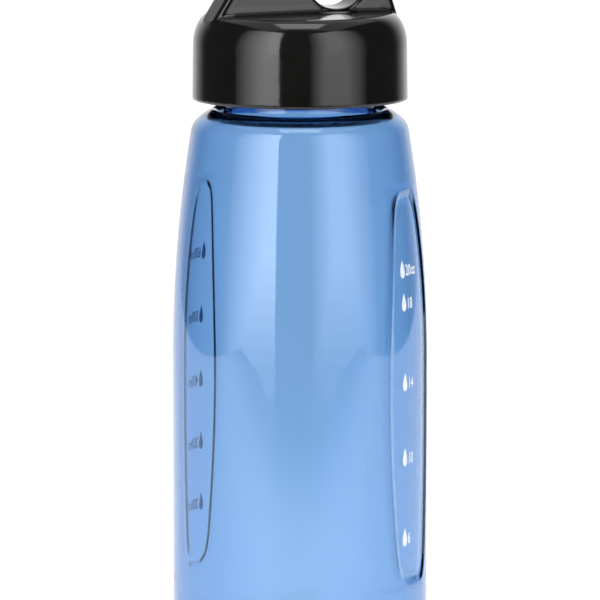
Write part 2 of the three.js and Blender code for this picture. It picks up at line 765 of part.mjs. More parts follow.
// The upper leg stays inside the circle that the corner of the plug's pad swings round.
function springLegLength() {
  const padCorner = Math.hypot(
    pinCentre.x - nozzleCentre - plug.padRadius, nozzle.belowPin - CLEARANCE);
  const reach = padCorner - hinge.springWire - CLEARANCE;
  return Math.sqrt(reach * reach - hinge.springRadius * hinge.springRadius);
}

// ---------------------------------------------------------------- catch

function releaseButton() {
  const body = prism(finOutline(latch.proud), latch.halfWidth).intersect(
    finBlock(-2 * finHalfChord, buttonEnd, latch.bottom, latchTop, latch.halfWidth));
  const stem = finBlock(buttonEnd - latch.stem, buttonEnd,
    latchTop - SINK, noseBottom + latch.nose, latch.stemHalfWidth);
  const nose = finBlock(ribEnd - latch.bite, buttonEnd,
    noseBottom, noseBottom + latch.nose, latch.stemHalfWidth);
  return cut(join(body, stem, nose), springBore());
}

// The hole along the button's centre line that holds its spring.
function springBore() {
  const radius = latch.springRadius + latch.springWire + CLEARANCE;
  const bottom = springEnd - latch.springLength - CLEARANCE - latch.travel;
  const geometry = new THREE.CylinderGeometry(radius, radius, pocketEnd - bottom, 24)
    .rotateZ(Math.PI / 2)
    .translate((pocketEnd + bottom) / 2, 0, buttonHeight);
  return solid(geometry);
}

// Drawn at its pressed length, inside the button's bore.
function buttonSpring() {
  const pitch = (latch.springLength - 2 * latch.springWire) / latch.springTurns;
  const helix = new Helix(latch.springRadius, latch.springWire, pitch, 0, latch.springTurns);
  const geometry = wire(helix, latch.springWire, 14 * latch.springTurns, 6)
    .rotateY(-Math.PI / 2)
    .translate(springEnd, 0, buttonHeight);
  return solid(geometry);
}

// ---------------------------------------------------------------- materials and assembly

function finish(color, roughness, metalness = 0, opacity = 1) {
  return new THREE.MeshStandardMaterial(
    { color, roughness, metalness, opacity, transparent: opacity < 1 });
}

const finishes = {
  clearBlue: () => finish(0x5f94d6, 0.08, 0, 0.45),
  glossBlack: () => finish(0x1a1a18, 0.12),
  satinBlack: () => finish(0x242422, 0.35),
  silicone: () => finish(0xb9bcbf, 0.6),
  steel: () => finish(0xb4b8bc, 0.3, 1),
};

const pieces = [
  ['bottle_body', bottleBody, finishes.clearBlue],
  ['cap_gasket', capGasket, finishes.silicone],
  ['cap_shell', capShell, finishes.glossBlack],
  ['cap_liner', capLiner, finishes.satinBlack],
  ['drinking_nozzle', drinkingNozzle, finishes.satinBlack],
  ['nozzle_gasket', nozzleGasket, finishes.silicone],
  ['vent_valve', ventValve, finishes.silicone],
  ['hinge_pin', hingePin, finishes.steel],
  ['cover_spring', coverSpring, finishes.steel],
  ['flip_cover', flipCover, finishes.glossBlack],
  ['cover_plug', coverPlug, finishes.silicone],
  ['release_button', releaseButton, finishes.glossBlack],
  ['button_spring', buttonSpring, finishes.steel],
];

function meshOf(name, body, material) {
  const { vertProperties, triVerts } = body.getMesh();
  const geometry = new THREE.BufferGeometry();
  geometry.setAttribute('position', new THREE.BufferAttribute(Float32Array.from(vertProperties), 3));
  geometry.setIndex(new THREE.BufferAttribute(Uint32Array.from(triVerts), 1));
  geometry.computeVertexNormals();
  const mesh = new THREE.Mesh(geometry, material);
  mesh.name = name;
  return mesh;
}

const group = new THREE.Group();
for (const [name, make, material] of pieces) {
  group.add(meshOf(name, make(), material()));
}

export default group;
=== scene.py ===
"""Looks for a clear blue sports bottle with a glossy black flip-top cap.

The bottle's and the cap's lengths are in millimetres until a mesh is made, and the stage's are in the
frame's metres. The fin of the cap runs along X, and its nozzle is toward -X.
"""
import math

import bpy
import numpy as np
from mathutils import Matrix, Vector


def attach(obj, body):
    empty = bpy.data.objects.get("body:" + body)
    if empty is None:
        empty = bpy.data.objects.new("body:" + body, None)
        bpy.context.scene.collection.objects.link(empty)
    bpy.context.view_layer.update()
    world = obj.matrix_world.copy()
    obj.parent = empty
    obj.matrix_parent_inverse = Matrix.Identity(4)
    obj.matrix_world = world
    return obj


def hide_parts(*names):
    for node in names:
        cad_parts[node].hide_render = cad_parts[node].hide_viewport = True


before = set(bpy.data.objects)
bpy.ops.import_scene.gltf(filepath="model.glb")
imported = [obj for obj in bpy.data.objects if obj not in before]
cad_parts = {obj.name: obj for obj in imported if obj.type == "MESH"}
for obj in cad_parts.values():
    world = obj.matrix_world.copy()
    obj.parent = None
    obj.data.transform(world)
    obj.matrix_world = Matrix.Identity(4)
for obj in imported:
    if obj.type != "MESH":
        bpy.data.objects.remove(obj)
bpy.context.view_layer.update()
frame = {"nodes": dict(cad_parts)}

MM = 0.001

# ------------------------------------------------------------------ sizes, most as in the frame

# Bottle: heights are from the table, radii from the axis.
RADIUS = 41.0
WALL = 2.0
BASE_CORNER = 7.0                # radius of the corner between side and base
STANDING_RING = 5.0              # from that corner in to where the base starts to rise
PUSH_UP = 5.0
PUSH_UP_SWEEP = 0.65             # share of the base's radius over which it stays nearly flat
BASE_THICKNESS = 2.6
TAPER_START = 99.0
SHOULDER = 171.7
TAPER = 5.95                     # how much narrower the body is at its shoulder
SHOULDER_TOP = 178.8
SHOULDER_BEND = 0.6              # share of the shoulder's height at which its curve turns in
SHOULDER_LEDGE = 3.6             # from the neck out to where the shoulder's curve ends
SHOULDER_SHIFT = 0.4             # share of the wall's thickness that its inside's curve moves by
NECK_ROOT = 177.0                # the shoulder dips to this as it meets the neck
NECK_RADIUS = 24.4
NECK_BORE = 21.9
NECK_TOP = 199.5
LIP_OUTSIDE = 0.6                # radii of the rim's two edges
LIP_INSIDE = 0.5
ROOT_FILLET = 1.4
THREAD_PITCH = 4.5
THREAD_RIDGE = 1.15
THREAD_START = NECK_TOP - 10.4
THREAD_TURNS = 1.5
THREAD_ZONE = (SHOULDER_TOP + 2, NECK_TOP - 1)   # the heights that its ridge stays between
BORE_FOOT = (2.0, 1.0)           # how far out from the neck and up its bore the inside's bend reaches

PANEL_BOTTOM = 27.5
PANEL_HEIGHT = 126.7
PANEL_WIDTH = 28.0
PANEL_DEPTH = 0.85
PANEL_STEP = 2.3                 # how wide the step down to its face is
PANEL_SOFTENING = 3.0            # how much further the step reaches each way inside the wall
PANEL_CORNER = 0.3               # share of the step that its rounded top and foot each take
PANEL_ANGLE = -49.0              # degrees from +X; the other panel is opposite
PANEL_NARROWING = (0.36, 0.5)    # how much narrower the panel is by its bottom and its top
PANEL_END_POWER = 24             # how suddenly its blunt ends close
PANEL_END_ROOT = 1 / 3           # and how round their corners are

SKIRT_RIM = 181.7
SKIRT_RADIUS = 34.6
SKIRT_FLARE = 0.2
SKIRT_INNER = 32.4
SKIRT_STRAIGHT = 17.6            # from the rim up to where its top edge starts to round
DECK_UNDERSIDE = 207.3
DECK_TOP = 209.8
DECK_DOME = 0.2
DECK_EDGE = 28.5
EDGE_IN = 5.9                    # the long rounded edge between skirt and deck
EDGE_DROP = 10.3
CORNER_IN = 3.2                  # the sloping corner inside that edge
CORNER_DROP = 3.6
SKIRT_BLEND = 0.8                # softens the rim and the skirt's inside

# Fin: x along it, y up from its foot.
FIN_FOOT = 208.0
HALF_FIN = 6.25
FIN_EDGE = 1.0
FIN_HALF_CHORD = 32.0
FIN_END_RADIUS = 32.3            # the round that trims the corners of its two ends
FIN_HEIGHT = 29.7
FIN_FILLET = 2.4
FILLET_FADE = (25.5, 30.5)       # from the axis, where the fillet starts and ends shrinking
FILLET_LEFT = 0.1                # share of it that is left at the fin's ends
LEFT_LEAN = math.radians(33)
RIGHT_LEAN = math.radians(18)
LEAN_HEIGHT = 7.0                # the left side leans evenly up to here,
LEAN_SWEEP = 8.5                 # bends over this height,
BEND_X = -20.117                 # and ends upright here
CORNER_RADIUS = 6.0
RIGHT_CORNER = 10.0

HOLE = (10.783, 13.2)
HOLE_RADIUS = 10.6
HOLE_EDGE = 0.6
LOOP_RADIUS = 16.1               # of the finger loop where the cover meets it
PIN = (-3.017, 25.7)
PIN_HOLE = 1.4
EAR_RADIUS = 4.0                 # round the pin on the cover
LUG_RADIUS = 3.6                 # round the pin on the fin
LUG_ARM = (6.0, 3.0)             # the reach and half the height of the arm that holds it
LUG_ARM_ANGLE = math.radians(-45)
COIL_ROOM = 3.1                  # radius of the room for the spring's coil between the knuckles
COIL_HALF = 2.1                  # half its width
COIL_LEG = (6.0, -0.5, 4.0)      # the room for its leg: how far back, from where, up to where
SHELF = 15.0                     # the height that the cover sits at
CHEEK = 1.5                      # thickness of the cover's sides
COVER_WALL = 1.6
GAP = 0.3
WIDE_GAP = 0.4
OPEN_ANGLE = math.radians(125)
NOZZLE_X = -10.317
NOZZLE_HOLE = 4.5
BOSS = (1.6, 1.8, 0.5)           # holds the plug: radius, length, and how far it is set in the roof
POCKET_END = -16.2
POCKET = (7.8, 14.0, 3.9)        # the button's room: bottom, top and half its width
HOOK_SLOT = (2.8, 0.3)           # above it, for the hook: half its width, and how far it overlaps
SLOT_PAST = 1.0                  # how far that slot and the nozzle's passage go on above the shelf
RIB_END = -19.217                # the cover's rib, which the hook holds
RIB_THICKNESS = 1.0
RIB_ROOT = 1.0                   # how far it is set in the wall

SEAM_BLEND = 0.5                 # softens the edges along the cover's seam
POCKET_BLEND = 0.4
EDGE_BLEND = 2.6                 # the blend that rounds an edge by a radius of 1
BEYOND = 70.0                    # further than anything reaches, for blocks with an open side
FAR = 50.0                       # the distance given where a shape isn't worth testing
NEAR_FIN = (4.0, 3.0)            # how far beside and below the fin it is worth testing

# ------------------------------------------------------------------ how finely things are meshed

AXIS_GAP = 0.01                  # the bottle's profiles start this far from its axis
FINE_COLUMNS, COARSE_COLUMNS = ((0.6, 2.5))     # degrees apart
FINE_MARGIN = 4.0                # degrees and millimetres past a panel that its fine mesh reaches
PANEL_ROWS, SHOULDER_ROWS, PLAIN_ROWS = 0.9, 0.45, 1.2                 # mm apart at full fineness
ROW_SCALE = 1.0
SHELL_REACH = 35.0               # the grids that the cap's surfaces are found in
COVER_SPAN = (-26.0, 1.0)
GRID_SCALE = 1.0
SHELL_STEP, COVER_STEP = 0.6 * GRID_SCALE, 0.3 * GRID_SCALE

# ------------------------------------------------------------------ mesh helpers


def new_object(name, vertices, faces, smooth=True):
    """A mesh object from points in millimetres."""
    mesh = bpy.data.meshes.new(name)
    mesh.from_pydata((np.asarray(vertices) * MM).tolist(), [], [list(face) for face in faces])
    mesh.validate()
    mesh.polygons.foreach_set("use_smooth", [smooth] * len(mesh.polygons))
    mesh.update()
    piece = bpy.data.objects.new(name, mesh)
    bpy.context.scene.collection.objects.link(piece)
    return piece


def rings_to_faces(rows, columns):
    """Quads between neighbouring rows of points, wrapping round in columns."""
    left = np.arange(rows * columns).reshape(rows, columns)
    right = np.roll(left, -1, axis=1)
    quads = np.stack([left[:-1], right[:-1], right[1:], left[1:]], axis=-1)
    return quads.reshape(-1, 4)


def surface_net(distance, low, high, step):
    """The zero surface of a distance function, as points laid exactly on it and quads between them."""
    axes = [np.arange(a - step, b + 2 * step, step) for a, b in zip(low, high)]
    grid = np.stack(np.meshgrid(*axes, indexing="ij"), axis=-1)
    value = distance(grid.reshape(-1, 3)).reshape(grid.shape[:3])
    active, places = crossed_cells(value)
    points = settle(distance, np.array([a[0] for a in axes]) + places * step, step)
    number = -np.ones(active.shape, int)
    number[active] = np.arange(len(points))
    return points, cell_quads(value < 0, number)


def crossed_cells(value):
    """Which cells of a grid the zero surface crosses, and the middle of its crossings in each."""
    corners = [(i, j, k) for i in (0, 1) for j in (0, 1) for k in (0, 1)]
    size = [n - 1 for n in value.shape]

    def corner(field, offset):
        return field[tuple(slice(o, o + n) for o, n in zip(offset, size))]

    count = sum(corner(value < 0, c).astype(int) for c in corners)
    active = (count > 0) & (count < 8)
    total = np.zeros(active.sum())
    centre = np.zeros((active.sum(), 3))
    for a in corners:
        for axis in range(3):
            if a[axis]:
                continue
            b = tuple(o + (axis == n) for n, o in enumerate(a))
            va, vb = corner(value, a)[active], corner(value, b)[active]
            crossed = (va < 0) != (vb < 0)
            share = np.where(crossed, va / np.where(crossed, va - vb, 1), 0)
            point = np.array(a, float) + share[:, None] * np.eye(3)[axis]
            centre += crossed[:, None] * point
            total += crossed
    return active, np.argwhere(active) + centre / total[:, None]


def cell_quads(inside, number):
    """A quad round each grid edge that passes through the surface, from its cells' point numbers."""
    faces = []
    for axis in range(3):
        u, v = [n for n in range(3) if n != axis]
        near = np.take(inside, range(inside.shape[axis] - 1), axis)
        far = np.take(inside, range(1, inside.shape[axis]), axis)
        edges = np.argwhere(near != far)
        edges = edges[(edges[:, u] > 0) & (edges[:, v] > 0)]
        turn = near[tuple(edges.T)] == (axis != 1)
        quad = []
        for du, dv in ((1, 1), (0, 1), (0, 0), (1, 0)):
            place = edges.copy()
            place[:, u] -= du
            place[:, v] -= dv
            quad.append(number[tuple(place.T)])
        quad = np.stack(quad, axis=-1)
        quad[~turn] = quad[~turn][:, ::-1]
        faces.append(quad)
    return np.concatenate(faces)


def gradient(distance, points, reach=0.02):
    """The slope of a distance function at some points."""
    sides = [distance(points + reach * unit) - distance(points - reach * unit) for unit in np.eye(3)]
    return np.stack(sides, axis=-1) / (2 * reach)


def settle(distance, points, step, rounds=3, flattest=0.05):
    """Moves points along the slope until they lie on the zero surface."""
    for _ in range(rounds):
        slope = gradient(distance, points)
        size = np.maximum((slope ** 2).sum(axis=1), flattest)
        move = np.clip(distance(points) / size, -step / 2, step / 2)
        points = points - move[:, None] * slope
    return points


def round_max(a, b, reach):
    """What two shapes share, with the edge between them rounded where they are nearly equal."""
    blend = np.maximum(reach - np.abs(a - b), 0) / reach
    return np.maximum(a, b) + blend * blend * reach / 4


def round_min(a, b, reach):
    """Two shapes joined, with the corner between them filled."""
    return -round_max(-a, -b, reach)


def polygon_distance(x, y, outline):
    """Signed distance in a plane to a closed outline of points, negative inside."""
    best = np.full(x.shape, np.inf)
    odd = np.zeros(x.shape, bool)
    for (ax, ay), (bx, by) in zip(outline, np.roll(outline, -1, axis=0)):
        ex, ey = bx - ax, by - ay
        wx, wy = x - ax, y - ay
        share = np.clip((wx * ex + wy * ey) / (ex * ex + ey * ey), 0, 1)
        best = np.minimum(best, (wx - ex * share) ** 2 + (wy - ey * share) ** 2)
        if ay != by:
            crosses = (ay <= y) != (by <= y)
            odd ^= crosses & (x < ax + (y - ay) * ex / ey)
    return np.where(odd, -1, 1) * np.sqrt(best)


def bezier(start, control, end, count):
    """Points of a quadratic curve, without its first."""
    t = np.linspace(0, 1, count + 1)[1:, None]
    start, control, end = map(np.array, (start, control, end))
    return ((1 - t) ** 2 * start + 2 * t * (1 - t) * control + t * t * end).tolist()


# ------------------------------------------------------------------ bottle


def side_curve(inset):
    """The side from the straight wall to the top of the shoulder, as [radius, height]."""
    slope = 2 * TAPER / (SHOULDER - TAPER_START)
    end = RADIUS - TAPER
    bend = SHOULDER + SHOULDER_BEND * (SHOULDER_TOP - SHOULDER)
    corner = end - slope * (bend - SHOULDER)
    middle = (TAPER_START + SHOULDER) / 2
    shift = SHOULDER_SHIFT * inset
    taper = bezier((RADIUS - inset, TAPER_START), (RADIUS - inset, middle), (end - inset, SHOULDER),
                   count=40)
    shoulder = bezier((end - inset, SHOULDER), (corner - inset, bend - shift),
                      (NECK_RADIUS + SHOULDER_LEDGE - shift, SHOULDER_TOP - inset), count=26)
    return taper + shoulder


def arc(centre, radius, start, end, count):
    """Points of a circle's arc, angles in degrees."""
    angles = np.radians(np.linspace(start, end, count + 1))
    return [[centre[0] + radius * math.cos(a), centre[1] + radius * math.sin(a)] for a in angles]


def resample(points, spacing):
    """Points along a polyline at an even spacing that changes with height."""
    points = np.array(points)
    length = np.r_[0, np.cumsum(np.hypot(*np.diff(points, axis=0).T))]
    places = [0.0]
    while places[-1] < length[-1]:
        height = np.interp(places[-1], length, points[:, 1])
        places.append(places[-1] + spacing(height))
    places = np.array(places) * length[-1] / places[-1]
    return np.stack([np.interp(places, length, points[:, 0]),
                     np.interp(places, length, points[:, 1])], axis=1)


def base_dome(ring_inner, floor):
    """The pushed-up middle of the base, from the axis out to the standing ring."""
    top = PUSH_UP + floor
    sweep = PUSH_UP_SWEEP * ring_inner
    return [[AXIS_GAP, top]] + bezier((0, top), (sweep, top), (ring_inner, floor), count=24)


def outer_profile():
    """The outside, from the middle of the base to the top of the neck's rim."""
    ring_outer = RADIUS - BASE_CORNER
    corner = arc((ring_outer, BASE_CORNER), BASE_CORNER, -90, 0, count=14)
    root = arc((NECK_RADIUS + ROOT_FILLET, NECK_ROOT + ROOT_FILLET), ROOT_FILLET, 270, 180, count=6)
    lip = arc((NECK_RADIUS - LIP_OUTSIDE, NECK_TOP - LIP_OUTSIDE), LIP_OUTSIDE, 0, 90, count=5)
    return (base_dome(ring_outer - STANDING_RING, 0) + corner + [[RADIUS, TAPER_START]]
            + side_curve(0) + root + lip)


def inner_profile():
    """The inside, in the same order."""
    radius = RADIUS - WALL
    bend = BASE_CORNER - WALL
    foot_out, foot_up = BORE_FOOT
    corner = arc((radius - bend, BASE_THICKNESS + bend), bend, -90, 0, count=12)
    neck = bezier((NECK_RADIUS + foot_out, NECK_ROOT - WALL), (NECK_BORE, NECK_ROOT - WALL),
                  (NECK_BORE, NECK_ROOT + foot_up), count=6)
    lip = arc((NECK_BORE + LIP_INSIDE, NECK_TOP - LIP_INSIDE), LIP_INSIDE, 180, 90, count=4)
    return (base_dome(radius - bend - STANDING_RING, BASE_THICKNESS) + corner
            + [[radius, TAPER_START]] + side_curve(WALL) + neck + lip)


def ramp(t):
    """A straight rise from 0 to 1 with a rounded foot and top."""
    t = np.clip(t, 0, 1)
    c = PANEL_CORNER
    foot = t * t / (2 * c * (1 - c))
    top = 1 - (1 - t) ** 2 / (2 * c * (1 - c))
    return np.where(t < c, foot, np.where(t > 1 - c, top, (t - c / 2) / (1 - c)))


def panel_half_width(along):
    """Half the panel's width, from -1 at its bottom to 1 at its top."""
    low, high = PANEL_NARROWING
    narrowing = np.where(along < 0, low, high) * along ** 2
    end = np.maximum(1 - np.abs(along) ** PANEL_END_POWER, 0) ** PANEL_END_ROOT
    return PANEL_WIDTH / 2 * (1 - narrowing) * end


def panel_depth(angle, height, radius, spread=0.0):
    """How far the grip panels sink the wall; `spread` widens their step on each side."""
    middle = PANEL_BOTTOM + PANEL_HEIGHT / 2
    along = np.clip((height - middle) / (PANEL_HEIGHT / 2), -1, 1)
    nudge = 0.002
    half = panel_half_width(along)
    lean = (panel_half_width(along + nudge) - panel_half_width(along - nudge)) / (nudge * PANEL_HEIGHT)
    to_end = PANEL_HEIGHT / 2 - np.abs(height - middle)
    sunk = np.zeros(np.broadcast(angle, height).shape)
    for centre in (PANEL_ANGLE, PANEL_ANGLE + 180):
        turn = (angle - math.radians(centre) + math.pi) % (2 * math.pi) - math.pi
        inward = (half - np.abs(turn) * radius) / np.sqrt(1 + lean ** 2)
        inward = np.minimum(inward, to_end)
        sunk = sunk + PANEL_DEPTH * ramp((inward + spread) / (PANEL_STEP + 2 * spread))
    return sunk


def thread_height(angle, height):
    """How far the neck's rounded thread ridge stands out at an angle and height."""
    turn = (angle / (2 * math.pi)) % 1
    out = np.zeros(np.broadcast(angle, height).shape)
    for lap in range(math.ceil(THREAD_TURNS) + 1):
        place = np.clip(turn + lap, 0, THREAD_TURNS)
        off = height - (THREAD_START + THREAD_PITCH * place)
        along = (turn + lap - place) * 2 * math.pi * NECK_RADIUS
        distance = np.hypot(off, along)
        out = np.maximum(out, np.sqrt(np.maximum(THREAD_RIDGE ** 2 - distance ** 2, 0)))
    return out


def bottle_angles():
    """Angles round the bottle, closer together over the two grip panels."""
    half = math.degrees((PANEL_WIDTH / 2 + PANEL_SOFTENING) / RADIUS) + FINE_MARGIN
    between = 180 - 2 * half
    fine, coarse = round(2 * half / FINE_COLUMNS), round(between / COARSE_COLUMNS)
    angles = []
    for centre in (PANEL_ANGLE, PANEL_ANGLE + 180):
        angles += list(np.linspace(centre - half, centre + half, fine, endpoint=False))
        angles += list(centre + half + np.linspace(0, between, coarse, endpoint=False))
    return np.radians(angles)


def row_spacing(height):
    """How far apart the rows round the bottle are at a height."""
    in_panel = PANEL_BOTTOM - FINE_MARGIN < height < PANEL_BOTTOM + PANEL_HEIGHT + FINE_MARGIN
    return ROW_SCALE * (PANEL_ROWS if in_panel else SHOULDER_ROWS if height > SHOULDER else PLAIN_ROWS)


def bottle_rows(profile, angles, outside):
    """The points of a profile turned round the axis, with the panels sunk and the thread raised."""
    radius, height = profile[:, :1], profile[:, 1:]
    on_side = (height > BASE_CORNER) & (height < SHOULDER)
    spread = 0.0 if outside else PANEL_SOFTENING
    radius = radius - np.where(on_side, panel_depth(angles[None], height, radius, spread), 0)
    if outside:
        on_neck = (height > THREAD_ZONE[0]) & (height < THREAD_ZONE[1])
        radius = radius + np.where(on_neck, thread_height(angles[None], height), 0)
    return np.stack([radius * np.cos(angles), radius * np.sin(angles),
                     np.broadcast_to(height, radius.shape)], axis=-1)


def bottle_skin():
    """The bottle with sunk panels, an inside that follows them, a neck and its thread."""
    angles = bottle_angles()
    outer = bottle_rows(resample(outer_profile(), row_spacing), angles, True)
    inner = bottle_rows(resample(inner_profile(), row_spacing), angles, False)
    points = np.concatenate([outer, inner[::-1]])
    rows, columns = points.shape[:2]
    faces = rings_to_faces(rows, columns).tolist()
    faces.append(list(range(columns))[::-1])
    faces.append([(rows - 1) * columns + i for i in range(columns)])
    skin = new_object("bottle_skin", points.reshape(-1, 3), faces)
    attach(skin, "bottle")
    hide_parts("bottle_body")
    return skin


# ------------------------------------------------------------------ cap


def cap_outside(radius, height):
    """The skirt and deck as one solid, with the long rounded edge between them."""
    side = radius - (SKIRT_RADIUS - SKIRT_FLARE * np.clip((height - SKIRT_RIM) / SKIRT_STRAIGHT, 0, 1))
    top = height - (DECK_TOP - DECK_DOME * (radius / DECK_EDGE) ** 2)
    across = (side + EDGE_IN) / EDGE_IN
    up = (top + EDGE_DROP) / EDGE_DROP
    tiny = 1e-6
    reach = np.maximum(np.hypot(across, up), tiny)
    slope = np.hypot(across / EDGE_IN, up / EDGE_DROP)
    rounded = (reach - 1) * reach / np.maximum(slope, tiny)
    edge = (across > 0) & (up > 0)
    return np.where(edge, rounded, np.maximum(side, top))


def cap_inside(radius, height):
    """The room under the deck, with its sloping corner."""
    side, top = radius - SKIRT_INNER, height - DECK_UNDERSIDE
    corner = ((side + CORNER_IN) * CORNER_DROP + top * CORNER_IN) / math.hypot(CORNER_IN, CORNER_DROP)
    return np.maximum.reduce([side, top, corner])


def fin_outline():
    """The fin seen from its side, as points in its plane."""
    left_tan, right_tan = math.tan(LEFT_LEAN), math.tan(RIGHT_LEAN)
    foot = DECK_UNDERSIDE - FIN_FOOT
    lean_x = -FIN_HALF_CHORD + left_tan * LEAN_HEIGHT
    right_top = FIN_HEIGHT - RIGHT_CORNER
    top_x = FIN_HALF_CHORD - right_tan * FIN_HEIGHT
    points = [(-FIN_HALF_CHORD + left_tan * foot, foot), (FIN_HALF_CHORD - right_tan * foot, foot),
              (FIN_HALF_CHORD - right_tan * right_top, right_top)]
    points += bezier(points[-1], (top_x, FIN_HEIGHT), (top_x - RIGHT_CORNER, FIN_HEIGHT), count=14)
    points += [(BEND_X + CORNER_RADIUS, FIN_HEIGHT)]
    points += bezier(points[-1], (BEND_X, FIN_HEIGHT), (BEND_X, FIN_HEIGHT - CORNER_RADIUS), count=12)
    meeting = (lean_x + LEAN_SWEEP * left_tan, LEAN_HEIGHT + LEAN_SWEEP)
    points += bezier(points[-1], meeting, (lean_x, LEAN_HEIGHT), count=12)
    return np.array(points)


FIN_OUTLINE = fin_outline()


def in_fin_plane(points):
    """How far points are along the fin, up from its foot, and out from its middle."""
    return points[:, 0], points[:, 2] - FIN_FOOT, np.abs(points[:, 1])


def fin_slab(points):
    """The whole fin with its finger hole, edges rounded."""
    x, y, out = in_fin_plane(points)
    outline = polygon_distance(x, y, FIN_OUTLINE)
    ends = np.hypot(x, out) - FIN_END_RADIUS
    hole = HOLE_RADIUS - np.hypot(x - HOLE[0], y - HOLE[1])
    faces = out - HALF_FIN
    slab = round_max(np.maximum(outline, ends), faces, EDGE_BLEND * FIN_EDGE)
    return np.maximum(slab, round_max(hole, faces, EDGE_BLEND * HOLE_EDGE))


def cover_zone(points, clearance):
    """Where the flip cover is, grown by a clearance."""
    x, y, _ = in_fin_plane(points)
    above = np.maximum(SHELF + GAP - clearance - y, x - PIN[0])
    loop = LOOP_RADIUS + WIDE_GAP - clearance - np.hypot(x - HOLE[0], y - HOLE[1])
    ear = np.hypot(x - PIN[0], y - PIN[1]) - EAR_RADIUS - clearance
    return np.minimum(np.maximum(above, loop), ear)


def block(points, x0, x1, y0, y1, half_width):
    """A box in the middle of the fin."""
    x, y, out = in_fin_plane(points)
    return np.maximum.reduce([x0 - x, x - x1, y0 - y, y - y1, out - half_width])


def turned_block(points, x0, x1, y0, y1, half_width, angle):
    """A box placed from the hinge pin and turned about it, in radians."""
    x, y, out = in_fin_plane(points)
    x, y = x - PIN[0], y - PIN[1]
    along = x * math.cos(angle) + y * math.sin(angle)
    up = -x * math.sin(angle) + y * math.cos(angle)
    return np.maximum.reduce([x0 - along, along - x1, y0 - up, up - y1, out - half_width])


def pin_hole(points):
    """Everywhere but the hinge pin's hole."""
    x, y, _ = in_fin_plane(points)
    return PIN_HOLE - np.hypot(x - PIN[0], y - PIN[1])


def lugs(points):
    """The two fixed knuckles that carry the hinge pin, with room for the spring between them."""
    x, y, out = in_fin_plane(points)
    half = HALF_FIN - CHEEK - WIDE_GAP
    disc = np.hypot(x - PIN[0], y - PIN[1])
    reach, wide = LUG_ARM
    arm = turned_block(points, 0, reach, -wide, wide, half, LUG_ARM_ANGLE)
    solid = np.maximum(np.minimum(disc - LUG_RADIUS, arm), out - half)
    back, low, high = COIL_LEG
    leg = turned_block(points, -back, 0, low, high, COIL_HALF, 0)
    return np.maximum(solid, -np.maximum(np.minimum(disc - COIL_ROOM, leg), out - COIL_HALF))


def fixed_fin(points):
    """The part of the fin that stays on the deck: the finger loop, the stub and the knuckles."""
    notch = turned_block(points, -BEYOND, 0, -EAR_RADIUS, EAR_RADIUS + GAP, BEYOND, -OPEN_ANGLE)
    fin = round_max(fin_slab(points), -cover_zone(points, WIDE_GAP), SEAM_BLEND)
    return np.minimum(round_max(fin, -notch, SEAM_BLEND), lugs(points))


def button_room(points):
    """The button's pocket in the fin's end, and the slot above it for the hook."""
    low, high, half = POCKET
    slot_half, overlap = HOOK_SLOT
    pocket = block(points, -BEYOND, POCKET_END, low, high, half)
    slot = block(points, RIB_END, POCKET_END, high - overlap, SHELF + SLOT_PAST, slot_half)
    return pocket, slot


def cap_solid(points):
    """The cap shell: skirt, deck, fin, hinge knuckles and the pockets in them."""
    along, across, height = points.T
    radius = np.hypot(along, across)
    beside, below = NEAR_FIN
    near = (np.abs(across) < HALF_FIN + beside) & (height > DECK_UNDERSIDE - below)
    fin = np.full(len(points), FAR)
    fin[near] = fixed_fin(points[near])
    fillet = FIN_FILLET * np.interp(np.abs(along), FILLET_FADE, (1, FILLET_LEFT))
    body = round_min(cap_outside(radius, height), fin, fillet)
    body = round_max(body, -cap_inside(radius, height), SKIRT_BLEND)
    body = round_max(body, SKIRT_RIM - height, SKIRT_BLEND)
    passage = np.hypot(along - NOZZLE_X, across) - NOZZLE_HOLE
    body = np.maximum(body, -np.maximum(passage, height - FIN_FOOT - SHELF - SLOT_PAST))
    pocket, slot = button_room(points)
    body = np.maximum(round_max(body, -pocket, POCKET_BLEND), -slot)
    return np.maximum(body, np.where(np.abs(across) < HALF_FIN - CHEEK, pin_hole(points), -FAR))


def cover_solid(points):
    """The flip cover: a hood that completes the fin, with its rib, boss and pin holes."""
    x, y, out = in_fin_plane(points)
    room = HALF_FIN - CHEEK
    outline = polygon_distance(x, y, FIN_OUTLINE) + COVER_WALL
    over_lugs = block(points, PIN[0] - LUG_RADIUS, BEYOND, 0, BEYOND, room)
    hollow = np.minimum(np.maximum(outline, out - room), over_lugs)
    hood = round_max(fin_slab(points), cover_zone(points, 0), SEAM_BLEND)
    hood = np.maximum(hood, -hollow)
    rib_foot = SHELF + 2 * GAP
    rib = block(points, -BEYOND, RIB_END, rib_foot, rib_foot + RIB_THICKNESS, room)
    rib = np.maximum(rib, outline - RIB_ROOT)
    roof = FIN_HEIGHT - COVER_WALL
    radius, length, root = BOSS
    boss = np.hypot(x - NOZZLE_X, out) - radius
    boss = np.maximum.reduce([boss, roof - length - y, y - roof - root])
    return np.maximum(np.minimum.reduce([hood, rib, boss]), pin_hole(points))


def sculpted(name, distance, low, high, step, body, node):
    """A glossy piece whose surface is the zero of a distance function, in place of a CAD node."""
    piece = new_object(name, *surface_net(distance, low, high, step))
    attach(piece, body)
    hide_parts(node)
    return piece


def cap_pieces():
    """The cap's shell and its flip cover."""
    top = FIN_FOOT + FIN_HEIGHT
    shell = sculpted("cap_shell_skin", cap_solid, (-SHELL_REACH, -SHELL_REACH, SKIRT_RIM),
                     (SHELL_REACH, SHELL_REACH, top), SHELL_STEP, "cap", "cap_shell")
    cover = sculpted("flip_cover_skin", cover_solid, (COVER_SPAN[0], -HALF_FIN, FIN_FOOT + SHELF),
                     (COVER_SPAN[1], HALF_FIN, top), COVER_STEP, "cover", "flip_cover")
    return shell, cover


# ------------------------------------------------------------------ printed fill marks

